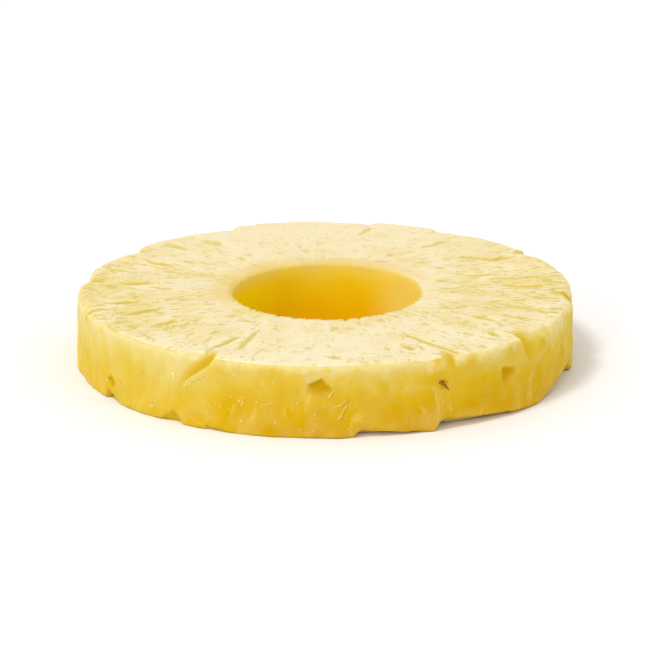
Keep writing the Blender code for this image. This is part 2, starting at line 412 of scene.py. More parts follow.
def relief_tree():
    """Slits, pits, ragged rims and soft folds of the cut flesh, as moved points and attributes."""
    tree = new_tree(
        "cut flesh relief",
        {
            "Float": (
                "Thickness", "Core Radius", "Outer Radius", "Slit Depth", "Slit Edge",
                "Pit Size", "Pit Depth", "Tooth Size", "Tooth Depth", "Nick Size",
                "Nick Depth", "Lump Size", "Lump Height", "Fold Size", "Fold Height",
                "Crumb Size", "Crumb Height", "Wave Size", "Wave Height",
            ),
            "Object": ("Slits",),
            "Material": ("Material",),
        },
    )
    given = add(tree, "NodeGroupInput").outputs
    place = add(tree, "GeometryNodeInputPosition")
    normal = add(tree, "GeometryNodeInputNormal")
    place_parts = add(tree, "ShaderNodeSeparateXYZ", {0: place}).outputs
    tilt = add(tree, "ShaderNodeSeparateXYZ", {0: normal}).outputs["Z"]
    scales = {
        name: add(tree, MATH, {0: 1.0, 1: given[name + " Size"]}, **OVER)
        for name in ("Pit", "Tooth", "Nick", "Lump", "Fold", "Crumb", "Wave")
    }

    # Where the cut faces, the peeled wall and the rounded rims between them are
    upright = add(tree, MATH, {0: tilt}, operation="ABSOLUTE")
    cut_face = add(tree, MAP_RANGE, {0: upright, 1: 0.6, 2: 0.9}, **SOFT)
    side_face = add(tree, MATH, {0: 1.0, 1: cut_face}, **MINUS)
    upper = add(tree, MAP_RANGE, {0: tilt, 1: 0.4, 2: 0.8}, **SOFT)
    flat = add(tree, VECTOR, {0: place, 1: (1.0, 1.0, 0.0)}, **TIMES)
    radius = add(tree, VECTOR, {0: flat}, operation="LENGTH").outputs["Value"]
    around = add(tree, VECTOR, {0: flat}, operation="NORMALIZE")
    middle = add(tree, MATH, {0: given["Core Radius"], 1: given["Outer Radius"]}, **PLUS)
    middle = add(tree, MATH, {0: middle, 1: 0.5}, **TIMES)
    outside = add(tree, MATH, {0: radius, 1: middle}, operation="GREATER_THAN")
    outer_edge = add(tree, MATH, {0: given["Outer Radius"], 1: -RIM_REACH}, **PLUS)
    core_edge = add(tree, MATH, {0: given["Core Radius"], 1: CORE_REACH}, **PLUS)
    follow_wall = add(tree, MAP_RANGE, {0: radius, 1: outer_edge, 2: given["Outer Radius"]}, **SOFT)
    follow_core = add(tree, MAP_RANGE, {0: radius, 1: core_edge, 2: given["Core Radius"]}, **SOFT)
    downward = add(tree, MATH, {0: tilt, 1: 0.0}, operation="LESS_THAN")
    lower_rim = add(tree, MATH, {0: downward, 1: follow_wall}, **TIMES)
    squared = add(tree, MATH, {0: tilt, 1: tilt}, **TIMES)
    rim = add(tree, MATH, {0: 1.0, 1: squared}, **MINUS)
    rim = add(tree, MATH, {0: rim, 1: squared}, **TIMES)
    rim = add(tree, MATH, {0: rim, 1: 4.0}, **TIMES)

    # Slits and pits in the cut faces
    on_top = {"X": place_parts["X"], "Y": place_parts["Y"], "Z": given["Thickness"]}
    on_top = add(tree, JOIN_XYZ, on_top)
    wander = add(tree, NOISE, {"Scale": 1.0 / (2.0 * MM), "Detail": 2.0}).outputs["Color"]
    wander = add(tree, VECTOR, {0: wander, 1: (-0.5, -0.5, -0.5)}, **PLUS)
    wander = add(tree, VECTOR, {0: wander, 1: (0.8 * MM, 0.8 * MM, 0.0)}, **TIMES)
    on_top = add(tree, VECTOR, {0: on_top, 1: wander}, **PLUS)
    outlines = add(tree, "GeometryNodeObjectInfo", {"Object": given["Slits"]}).outputs["Geometry"]
    gap = {"Geometry": outlines, "Sample Position": on_top}
    gap = add(tree, "GeometryNodeProximity", gap, target_element="FACES").outputs["Distance"]
    slit = add(tree, MAP_RANGE, {0: gap, 1: given["Slit Edge"], 2: 0.0}, **SOFT)
    slit = add(tree, MATH, {0: slit, 1: upper}, **TIMES)
    slit = add(tree, MATH, {0: slit, 1: cut_face}, **TIMES)
    pit = add(tree, NOISE, {"Scale": scales["Pit"], "Detail": 1.0})
    pit = add(tree, MAP_RANGE, {0: pit, 1: 0.62, 2: 0.73}, **SOFT)
    pit = add(tree, MATH, {0: pit, 1: cut_face}, **TIMES)

    # Ragged rims, nicks in the front of the hole's upper edge, soft crumbs of the wall and
    # slow waves of the upper face
    tooth = add(tree, NOISE, {"Scale": scales["Tooth"], "Detail": 2.0})
    tooth = add(tree, MAP_RANGE, {0: tooth, 1: 0.35, 2: 0.75}, **SOFT)
    tooth = add(tree, MATH, {0: tooth, 1: outside}, **TIMES)
    tooth = add(tree, MATH, {0: tooth, 1: rim}, **TIMES)
    nick = add(tree, NOISE, {"Scale": scales["Nick"], "Detail": 2.0})
    nick = add(tree, MAP_RANGE, {0: nick, 1: 0.4, 2: 0.7}, **SOFT)
    nick_edge = add(tree, MATH, {0: given["Core Radius"], 1: NICK_REACH}, **PLUS)
    nick_floor = add(tree, MATH, {0: given["Thickness"], 1: -NICK_DROP}, **PLUS)
    for value, start, end in (
        (radius, nick_edge, given["Core Radius"]),
        (place_parts["Z"], nick_floor, given["Thickness"]),
        (place_parts["Y"], given["Core Radius"], 0.0),
    ):
        near = add(tree, MAP_RANGE, {0: value, 1: start, 2: end}, **SOFT)
        nick = add(tree, MATH, {0: nick, 1: near}, **TIMES)
    nick = add(tree, MATH, {0: nick, 1: given["Nick Depth"]}, **TIMES)
    nick = add(tree, MATH, {0: nick, 1: -1.0}, **TIMES)
    nick = add(tree, JOIN_XYZ, {"Z": nick})
    crumb = add(tree, NOISE, {"Scale": scales["Crumb"], "Detail": 1.0})
    crumb = add(tree, MATH, {0: crumb, 1: side_face}, **TIMES)
    wave = add(tree, NOISE, {"Scale": scales["Wave"], "Detail": 1.0})
    wave = add(tree, MATH, {0: wave, 1: upper}, **TIMES)

    # Folds of the wall, wandering as the fruitlets do, and the lumps between them
    bend = add(tree, NOISE, {"Scale": 1.0 / (9.0 * MM), "Detail": 1.0}).outputs["Color"]
    bend = add(tree, VECTOR, {0: bend, 1: (-0.5, -0.5, -0.5)}, **PLUS)
    bend = add(tree, VECTOR, {0: bend, "Scale": 9.0 * MM}, operation="SCALE")
    bent = add(tree, VECTOR, {0: place, 1: bend}, **PLUS)
    bent = add(tree, VECTOR, {0: bent, 1: (1.0, 1.0, 0.55)}, **TIMES)
    fold_noise = add(tree, NOISE, {"Vector": bent, "Scale": scales["Fold"], "Detail": 1.0})
    fold = add(tree, MAP_RANGE, {0: fold_noise, 1: 0.38, 2: 0.66}, **SOFT)
    fold = add(tree, MATH, {0: fold, 1: side_face}, **TIMES)
    lump = add(tree, NOISE, {"Scale": scales["Lump"], "Detail": 2.0})

    # How far each point goes into the flesh, along its normal and towards or from the axis
    depths = (
        (slit, "Slit Depth"),
        (pit, "Pit Depth"),
        (tooth, "Tooth Depth"),
        (crumb, "Crumb Height"),
        (wave, "Wave Height"),
    )
    total = 0.0
    for share, depth in depths:
        total = add(tree, MATH, {0: share, 1: given[depth], 2: total}, **TIMES_PLUS)
    total = add(tree, MATH, {0: total, 1: -1.0}, **TIMES)
    offset = add(tree, VECTOR, {0: normal, "Scale": total}, operation="SCALE")
    swell = add(tree, MATH, {0: lump, 1: given["Lump Height"]}, **TIMES)
    swell = add(tree, MATH, {0: fold_noise, 1: given["Fold Height"], 2: swell}, **TIMES_PLUS)
    outward = add(tree, MATH, {0: follow_core, 1: 0.3}, **TIMES)
    outward = add(tree, MATH, {0: outward, 1: follow_wall}, **MINUS)
    outward = add(tree, MATH, {0: outward, 1: swell}, **TIMES)
    outward = add(tree, VECTOR, {0: around, "Scale": outward}, operation="SCALE")
    offset = add(tree, VECTOR, {0: offset, 1: outward}, **PLUS)
    offset = add(tree, VECTOR, {0: offset, 1: nick}, **PLUS)

    geometry = given["Geometry"]
    shown_cut = add(tree, MATH, {0: 1.0, 1: lower_rim}, **MINUS)
    shown_cut = add(tree, MATH, {0: shown_cut, 1: cut_face}, **TIMES)
    marks = {"cut_face": shown_cut, "wall": outside, "slit": slit, "pit": pit, "fold": fold}
    for name, value in marks.items():
        inputs = {"Geometry": geometry, "Name": name, "Value": value}
        geometry = add(tree, "GeometryNodeStoreNamedAttribute", inputs, data_type="FLOAT")
    moved = add(tree, "GeometryNodeSetPosition", {"Geometry": geometry, "Offset": offset})
    plain = add(tree, "GeometryNodeRealizeInstances", {"Geometry": moved})
    finished = add(tree, "GeometryNodeSetMaterial", {"Geometry": plain, "Material": given["Material"]})
    add(tree, "NodeGroupOutput", {"Geometry": finished})
    return tree


def fit_to_frame(mesh):
    """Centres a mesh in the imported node's box, and shrinks it where it would stand proud."""
    points = np.empty(len(mesh.vertices) * 3)
    mesh.vertices.foreach_get("co", points)
    points = points.reshape(-1, 3)
    low, high = points.min(axis=0), points.max(axis=0)
    room_low, room_high = np.array(LOW), np.array(HIGH)
    scale = np.minimum((room_high - room_low) / (high - low), 1.0)
    centre, room_centre = (low + high) / 2.0, (room_low + room_high) / 2.0
    points[:, :2] = (points[:, :2] - centre[:2]) * scale[:2] + room_centre[:2]
    points[:, 2] = (points[:, 2] - low[2]) * scale[2] + room_low[2]
    mesh.vertices.foreach_set("co", points.ravel())
    mesh.update()


def new_material(name, settings):
    """A material with these settings of its shader, and its tree and shader."""
    material = bpy.data.materials.new(name)
    material.use_nodes = True
    shader = material.node_tree.nodes["Principled BSDF"]
    for socket, value in settings.items():
        shader.inputs[socket].default_value = value
    return material, material.node_tree, shader


# Every plain noise of the flesh: (size in mm, detail)
NOISE_SIZES = (
    (0.8, 1.0),
    (1.0, 2.0),
    (1.2, 3.0),
    (1.3, 1.0),
    (2.2, 2.0),
    (6.0, 1.0),
    (7.0, 3.0),
    (8.0, 1.0),
    (11.0, 1.0),
)


def flesh_material():
    """Ripe pineapple flesh, cut with a knife and wet with its own juice.

    Pale where the cut ends of the fibres scatter the light, golden where one looks deeper
    into the juicy flesh of the wall, the core hole and the hollows. Part of its colour is
    painted light and shade, as said where it is made.
    """
    material, tree, shader = new_material(
        "ripe pineapple flesh, knife-cut and juicy",
        {
            "Roughness": 0.5,
            "IOR": 1.36,
            "Specular IOR Level": 0.0,
            "Coat Weight": 0.18,
            "Coat Roughness": 0.08,
            "Coat IOR": 1.33,
            "Subsurface Weight": 0.45,
            "Subsurface Radius": (1.0, 0.8, 0.2),
            "Subsurface Scale": 2.0 * MM,
        },
    )
    place = add(tree, "ShaderNodeTexCoord").outputs["Object"]
    parts = add(tree, "ShaderNodeSeparateXYZ", {0: place}).outputs
    marks = {
        name: add(tree, "ShaderNodeAttribute", attribute_name=name).outputs["Fac"]
        for name in ("cut_face", "wall", "slit", "pit", "fold", "bitten", "opening", "sloping")
    }
    noises = {
        (size, detail): add(tree, NOISE, {"Vector": place, "Scale": 1.0 / (size * MM), "Detail": detail})
        for size, detail in NOISE_SIZES
    }

    # The direction round the ring, and the distance from its axis in metres
    flat = add(tree, VECTOR, {0: place, 1: (1.0, 1.0, 0.0)}, **TIMES)
    around = add(tree, VECTOR, {0: flat}, operation="NORMALIZE")
    radius = add(tree, VECTOR, {0: flat}, operation="LENGTH").outputs["Value"]

    def along_fibres(width_mm, length_mm):
        """A place where one unit is a width round the rim, or a length away from the core."""
        outward = add(tree, MATH, {0: radius, 1: 1.0 / (length_mm * MM)}, **TIMES)
        outward = add(tree, JOIN_XYZ, {"Z": outward})
        spread = add(tree, VECTOR, {0: around, "Scale": OUTER_RADIUS / (width_mm * MM)}, operation="SCALE")
        return add(tree, VECTOR, {0: spread, 1: outward}, **PLUS)

    # Cut face: cream and pale yellow patches and streaks, deeper in colour near the core, partly as
    # painted shade. It is paler, with fainter marks, at the front and the back, and yellower at the
    # sides: partly the flesh's own tone and partly a painted sheen
    sideways = add(tree, MATH, {0: parts["X"]}, operation="ABSOLUTE")
    sideways = add(tree, MATH, {0: sideways, 1: 1.0 / OUTER_RADIUS}, **TIMES)
    streaks = add(tree, NOISE, {"Vector": along_fibres(3.0, 7.0), "Scale": 1.0, "Detail": 1.0})
    cream = add(tree, MATH, {0: noises[7.0, 3.0], 1: 0.7}, **TIMES)
    cream = add(tree, MATH, {0: streaks, 1: 0.3, 2: cream}, **TIMES_PLUS)
    cream = add(tree, MATH, {0: sideways, 1: 0.12, 2: cream}, **TIMES_PLUS)
    cream = add(tree, MAP_RANGE, {0: cream, 1: 0.44, 2: 0.70}, **SOFT)
    # The back of the upper face: paler and with fainter marks, partly a painted sheen
    at_back = {0: parts["Y"], 1: 0.2 * OUTER_RADIUS, 2: 0.8 * OUTER_RADIUS, 3: 1.0, 4: 0.3}
    at_back = add(tree, MAP_RANGE, at_back, **SOFT)
    cream = add(tree, MATH, {0: cream, 1: at_back}, **TIMES)
    cut_colour = add(tree, MIX, {0: cream, 6: linear("#F3E1B3"), 7: linear("#EBD38E")}, **COLOURS)
    # The front of the upper face: paler and with fewer pits, partly a painted sheen
    at_front = {0: parts["Y"], 1: -0.3 * OUTER_RADIUS, 2: -0.9 * OUTER_RADIUS, 4: 0.4}
    at_front = add(tree, MAP_RANGE, at_front, **SOFT)
    cut_colour = add(tree, MIX, {0: at_front, 6: cut_colour, 7: linear("#F9ECC8")}, **COLOURS)
    # Deeper gold near the hole, at its back and left: partly the flesh's own colour and partly painted shade
    # of the hole's edge
    backward = add(tree, MATH, {0: parts["X"], 1: -0.5, 2: parts["Y"]}, **TIMES_PLUS)
    backward = {0: backward, 1: -0.6 * CORE_RADIUS, 2: 0.6 * CORE_RADIUS, 3: 0.0, 4: 0.6}
    backward = add(tree, MAP_RANGE, backward, **SOFT)
    core_reach = {0: radius, 1: CORE_RADIUS + 6.0 * MM, 2: CORE_RADIUS + 0.5 * MM}
    core_reach = add(tree, MAP_RANGE, core_reach, **SOFT)
    core_reach = add(tree, MATH, {0: core_reach, 1: backward}, **TIMES)
    cut_colour = add(tree, MIX, {0: core_reach, 6: cut_colour, 7: linear("#E4C058")}, **COLOURS)

    # The ends of cut fibres: olive dashes that point away from the core, in loose patches
    dashes = {"Vector": along_fibres(1.15, 2.5), "Scale": 1.0, "Detail": 1.0, "Roughness": 0.5}
    dashes = add(tree, NOISE, dashes)
    thick = add(tree, MAP_RANGE, {0: noises[8.0, 1.0], 1: 0.36, 2: 0.64, 4: 0.035}, **SOFT)
    thick = add(tree, MATH, {0: sideways, 1: 0.05, 2: thick}, **TIMES_PLUS)
    dashes = add(tree, MATH, {0: dashes, 1: thick}, **PLUS)
    dashes = add(tree, MAP_RANGE, {0: dashes, 1: 0.65, 2: 0.70}, **SOFT)
    dots = add(tree, MATH, {0: noises[0.8, 1.0], 1: thick}, **PLUS)
    dots = add(tree, MAP_RANGE, {0: dots, 1: 0.70, 2: 0.76}, **SOFT)
    ends = add(tree, MATH, {0: dashes, 1: dots}, operation="MAXIMUM")
    within = add(tree, MAP_RANGE, {0: radius, 1: OUTER_RADIUS - 0.8 * MM, 2: OUTER_RADIUS - 2.5 * MM}, **SOFT)
    ends = add(tree, MATH, {0: ends, 1: within}, **TIMES)
    within = add(tree, MAP_RANGE, {0: radius, 1: CORE_RADIUS + 1.5 * MM, 2: CORE_RADIUS + 3.5 * MM}, **SOFT)
    ends = add(tree, MATH, {0: ends, 1: within}, **TIMES)
    # Fewer dashes at the front and back than at the sides: partly a painted sheen
    fibre_share = add(tree, MATH, {0: sideways, 1: 0.45, 2: 0.4}, **TIMES_PLUS)
    fibre_share = add(tree, MATH, {0: fibre_share, 1: at_back}, **TIMES)
    fibre_share = add(tree, MATH, {0: fibre_share, 1: ends}, **TIMES)
    bitten = add(tree, MATH, {0: marks["bitten"], 1: at_back}, **TIMES)
    sloping = add(tree, MATH, {0: marks["sloping"], 1: at_back}, **TIMES)
    pit = add(tree, MATH, {0: marks["pit"], 1: at_back}, **TIMES)
    pit = add(tree, MATH, {0: pit, 1: within}, **TIMES)
    pits_kept = add(tree, MATH, {0: at_front, 1: -1.3, 2: 1.0}, **TIMES_PLUS)
    pit = add(tree, MATH, {0: pit, 1: pits_kept}, **TIMES)
    slits_kept = add(tree, MATH, {0: at_back, 1: 0.6, 2: 0.4}, **TIMES_PLUS)
    slit = add(tree, MATH, {0: marks["slit"], 1: slits_kept}, **TIMES)
    for share, colour in (
        (fibre_share, "#D2BC56"),
        (pit, "#D8C468"),
        (slit, "#D8C058"),
        (sloping, "#E6CE70"),
        # Deeper gold beside the bites' steep sides: partly the flesh's own colour and partly painted shade
        (bitten, "#DAB630"),
    ):
        cut_colour = add(tree, MIX, {0: share, 6: cut_colour, 7: linear(colour)}, **COLOURS)

    # Wall: pale at the upper edge and golden below, where the pale flesh ends in soft tongues. The
    # paleness above is partly a painted glow of light let in by the upper face, and the deeper gold
    # below is partly painted shade and yellow light bounced up from beneath
    bend = add(tree, VECTOR, {0: noises[11.0, 1.0].outputs["Color"], 1: (-0.5, -0.5, -0.5)}, **PLUS)
    bend = add(tree, VECTOR, {0: bend, "Scale": 10.0 * MM}, operation="SCALE")
    bent = add(tree, VECTOR, {0: place, 1: bend}, **PLUS)
    bent = add(tree, VECTOR, {0: bent, 1: (1.0, 1.0, 0.65)}, **TIMES)
    tongues = add(tree, NOISE, {"Vector": bent, "Scale": 1.0 / (4.2 * MM), "Detail": 3.0})
    tongues = add(tree, MATH, {0: tongues, 1: 0.5}, **MINUS)
    clouds = add(tree, MATH, {0: noises[11.0, 1.0], 1: 0.5}, **MINUS)
    height = add(tree, MATH, {0: parts["Z"], 1: 1.0 / THICKNESS}, **TIMES)
    core_height = add(tree, MATH, {0: clouds, 1: 0.4, 2: height}, **TIMES_PLUS)
    height = add(tree, MATH, {0: tongues, 1: 0.8, 2: core_height}, **TIMES_PLUS)
    # Paler and with fainter tongues on the left: partly painted light from the key lamp's side
    leftward = {0: parts["X"], 1: -0.12 * OUTER_RADIUS, 2: -0.62 * OUTER_RADIUS}
    leftward = add(tree, MAP_RANGE, leftward, **SOFT)
    height_kept = add(tree, MATH, {0: leftward, 1: -0.6, 2: 1.0}, **TIMES_PLUS)
    height = add(tree, MATH, {0: height, 1: height_kept}, **TIMES)
    height = add(tree, MATH, {0: leftward, 1: 0.62, 2: height}, **TIMES_PLUS)
    wall_colour = add(tree, "ShaderNodeValToRGB", {0: height})
    # Deeper gold towards the foot: partly painted shade and bounced yellow light
    wall_stops = ((0.0, "#D2A200"), (0.4, "#D9AE02"), (0.68, "#DCB618"), (0.88, "#E0C350"), (1.0, "#E6D48C"))
    # The core wall's colour by height: deeper gold towards its foot, partly painted shade in the hole
    core_colour = add(tree, "ShaderNodeValToRGB", {0: core_height})
    core_stops = ((0.0, "#E0A400"), (0.45, "#E7B500"), (0.8, "#EDC600"), (0.94, "#EED34A"), (1.0, "#E2C66C"))
    for node, stops in ((wall_colour, wall_stops), (core_colour, core_stops)):
        node.color_ramp.interpolation = "B_SPLINE"
        for position, _ in stops[1:-1]:
            node.color_ramp.elements.new(position)
        for element, (position, colour) in zip(node.color_ramp.elements, stops):
            element.position, element.color = position, linear(colour)

    # A pale band along the upper edge, in blotches, partly a painted glow where light comes in at the rim
    band = add(tree, MATH, {0: parts["Z"], 1: 1.0 / THICKNESS}, **TIMES)
    band = add(tree, MATH, {0: noises[2.2, 2.0], 1: 0.5, 2: band}, **TIMES_PLUS)
    band = add(tree, MAP_RANGE, {0: band, 1: 1.08, 2: 1.28, 4: 0.75}, **SOFT)

    # Soft paler seams, where the fruitlets grew together
    seams = {"Vector": bent, "Scale": 1.0 / (6.5 * MM), "Randomness": 0.9}
    seams = add(tree, "ShaderNodeTexVoronoi", seams, feature="DISTANCE_TO_EDGE")
    seams = add(tree, MAP_RANGE, {0: seams, 1: 0.25, 2: 0.0}, **SOFT)
    patchy = add(tree, MAP_RANGE, {0: noises[6.0, 1.0], 1: 0.36, 2: 0.66, 4: 0.16}, **SOFT)
    seams = add(tree, MATH, {0: seams, 1: patchy}, **TIMES)
    folds = add(tree, MATH, {0: marks["fold"], 1: 0.12}, **TIMES)

    # Fine fibres low on the wall: lighter threads and deeper gaps that wander, in patches
    threads = add(tree, VECTOR, {0: bent, 1: (1.0, 1.0, 0.4)}, **TIMES)
    threads = add(tree, NOISE, {"Vector": threads, "Scale": 1.0 / (1.1 * MM), "Detail": 3.0})
    frayed = add(tree, MAP_RANGE, {0: noises[6.0, 1.0], 1: 0.44, 2: 0.62}, **SOFT)
    low = {0: parts["Z"], 1: 0.85 * THICKNESS, 2: 0.5 * THICKNESS}
    low = add(tree, MAP_RANGE, low, **SOFT)
    frayed = add(tree, MATH, {0: frayed, 1: low}, **TIMES)
    light_threads = add(tree, MAP_RANGE, {0: threads, 1: 0.54, 2: 0.68, 4: 0.28}, **SOFT)
    light_threads = add(tree, MATH, {0: light_threads, 1: frayed}, **TIMES)
    deep_threads = add(tree, MAP_RANGE, {0: threads, 1: 0.46, 2: 0.32, 4: 0.2}, **SOFT)
    deep_threads = add(tree, MATH, {0: deep_threads, 1: low}, **TIMES)
    colour = wall_colour
    for share, tone in (
        (band, "#EAD99C"),
        (folds, "#E6D078"),
        (seams, "#EEDC8E"),
        (light_threads, "#FAE078"),
        (deep_threads, "#CCA440"),
        # Deeper gold beside the bites' steep sides and in the open eye hollows: partly the flesh's own colour
        # and partly painted shade
        (bitten, "#D8B428"),
        (marks["opening"], "#CE9C00"),
    ):
        colour = add(tree, MIX, {0: share, 6: colour, 7: linear(tone)}, **COLOURS)

    # Core wall: brighter at its sides with a painted glow, yellowest on the left where the key lamp
    # leaves it in shade, and duller along its rounded upper edge: painted shade that tones down the
    # light on the rounding, in the deeper colour of the face near the hole
    glow = add(tree, MAP_RANGE, {0: sideways, 1: 0.15, 2: 0.32, 4: 0.7}, **SOFT)
    lip = {0: parts["Z"], 1: THICKNESS - 3.5 * MM, 2: THICKNESS - 0.8 * MM}
    lip = add(tree, MAP_RANGE, lip, **SOFT)
    side = add(tree, MAP_RANGE, {0: parts["X"], 1: -0.3 * CORE_RADIUS, 2: 0.3 * CORE_RADIUS})
    side = add(tree, MATH, {0: side, 1: lip}, operation="MAXIMUM")
    side = add(tree, MIX, {0: side, 6: linear("#FFDC00"), 7: linear("#F1D26C")}, **COLOURS)
    core_colour = add(tree, MIX, {0: glow, 6: core_colour, 7: side.outputs[2]}, **COLOURS)
    # Duller along the upper edge: painted shade over the lit rounding
    soft_lip = {0: parts["Z"], 1: THICKNESS - 1.1 * MM, 2: THICKNESS - 0.3 * MM, 4: 0.9}
    soft_lip = add(tree, MAP_RANGE, soft_lip, **SOFT)
    core_colour = add(tree, MIX, {0: soft_lip, 6: core_colour, 7: linear("#E2C470")}, **COLOURS)
    colour = add(tree, MIX, {0: marks["wall"], 6: core_colour, 7: colour}, **COLOURS)

    # The pale cut face ends in a ragged line along its rims
    ragged = add(tree, MATH, {0: noises[1.0, 2.0], 1: 0.9, 2: marks["cut_face"]}, **TIMES_PLUS)
    ragged = add(tree, MAP_RANGE, {0: ragged, 1: 0.65, 2: 1.25}, **SOFT)
    colour = add(tree, MIX, {0: ragged, 6: colour, 7: cut_colour}, **COLOURS)
    tree.links.new(colour.outputs[2], shader.inputs["Base Color"])

    # Fine grain of the cut, and the uneven film of juice over it, too small for the mesh
    fine = add(tree, NOISE, {"Vector": along_fibres(0.4, 1.2), "Scale": 1.0, "Detail": 2.0})
    grain = add(tree, MATH, {0: ends, 1: -0.7, 2: fine}, **TIMES_PLUS)
    wall_grain = add(tree, MATH, {0: threads, 1: marks["wall"]}, **TIMES)
    wall_grain = add(tree, MATH, {0: wall_grain, 1: 1.5, 2: noises[1.2, 3.0]}, **TIMES_PLUS)
    grain = add(tree, MIX, {0: marks["cut_face"], 2: wall_grain, 3: grain})
    bump = add(tree, "ShaderNodeBump", {"Height": grain, "Strength": 0.5, "Distance": 0.15 * MM})
    film = add(tree, "ShaderNodeBump", {"Height": noises[1.3, 1.0], "Strength": 0.8, "Distance": 0.5 * MM})
    tree.links.new(bump.outputs["Normal"], shader.inputs["Normal"])
    tree.links.new(film.outputs["Normal"], shader.inputs["Coat Normal"])
    return material


def two_tone_material(name, first, second, size_mm, roughness, ior):
    """A wet surface that wanders between two colours."""
    material, tree, shader = new_material(name, {"Roughness": roughness, "IOR": ior})
    place = add(tree, "ShaderNodeTexCoord").outputs["Object"]
    tone = add(tree, NOISE, {"Vector": place, "Scale": 1.0 / (size_mm * MM), "Detail": 2.0})
    bump = add(tree, "ShaderNodeBump", {"Height": tone, "Strength": 0.3, "Distance": 0.05 * MM})
    tone = add(tree, MAP_RANGE, {0: tone, 1: 0.4, 2: 0.6}, **SOFT)
    colour = add(tree, MIX, {0: tone, 6: linear(first), 7: linear(second)}, **COLOURS)
    tree.links.new(colour.outputs[2], shader.inputs["Base Color"])
    tree.links.new(bump.outputs["Normal"], shader.inputs["Normal"])
    return material


def strand_tree():
    """Tapered strands that lie on the flesh, half sunk in it, along guide lines."""
    tree = new_tree(
        "strands on the flesh",
        {
            "Float": ("Wander Size", "Wander", "Merge"),
            "Int": ("Points", "Sides"),
            "Object": ("Flesh",),
            "Material": ("Material",),
        },
    )
    given = add(tree, "NodeGroupInput").outputs
    line = add(tree, "GeometryNodeMeshToCurve", {"Mesh": given["Geometry"]})
    line = add(tree, "GeometryNodeResampleCurve", {"Curve": line, "Count": given["Points"]})
    scale = add(tree, MATH, {0: 1.0, 1: given["Wander Size"]}, **OVER)
    wander = add(tree, NOISE, {"Scale": scale, "Detail": 1.0}).outputs["Color"]
    wander = add(tree, VECTOR, {0: wander, 1: (-0.5, -0.5, -0.5)}, **PLUS)
    wander = add(tree, VECTOR, {0: wander, "Scale": given["Wander"]}, operation="SCALE")
    line = add(tree, "GeometryNodeSetPosition", {"Geometry": line, "Offset": wander})
    flesh = add(tree, "GeometryNodeObjectInfo", {"Object": given["Flesh"]}).outputs["Geometry"]
    nearest = add(tree, "GeometryNodeProximity", {"Geometry": flesh}, target_element="FACES")
    line = add(tree, "GeometryNodeSetPosition", {"Geometry": line, "Position": nearest})
    share = add(tree, "GeometryNodeSplineParameter").outputs["Factor"]
    rest = add(tree, MATH, {0: 1.0, 1: share}, **MINUS)
    belly = add(tree, MATH, {0: share, 1: rest}, **TIMES)
    belly = add(tree, MATH, {0: belly, 1: 3.6, 2: 0.1}, **TIMES_PLUS)
    belly = add(tree, MATH, {0: belly}, operation="SQRT")
    thickness = add(tree, "GeometryNodeInputNamedAttribute", {"Name": "thickness"}, data_type="FLOAT")
    radius = add(tree, MATH, {0: thickness, 1: belly}, **TIMES)
    circle = add(tree, "GeometryNodeCurvePrimitiveCircle", {"Resolution": given["Sides"], "Radius": 0.5})
    tubes = {"Curve": line, "Profile Curve": circle.outputs["Curve"], "Scale": radius, "Fill Caps": True}
    tubes = add(tree, "GeometryNodeCurveToMesh", tubes)
    tubes = add(tree, "GeometryNodeMergeByDistance", {"Geometry": tubes, "Distance": given["Merge"]})
    plain = add(tree, "GeometryNodeRealizeInstances", {"Geometry": tubes})
    finished = add(tree, "GeometryNodeSetMaterial", {"Geometry": plain, "Material": given["Material"]})
    add(tree, "NodeGroupOutput", {"Geometry": finished})
    return tree


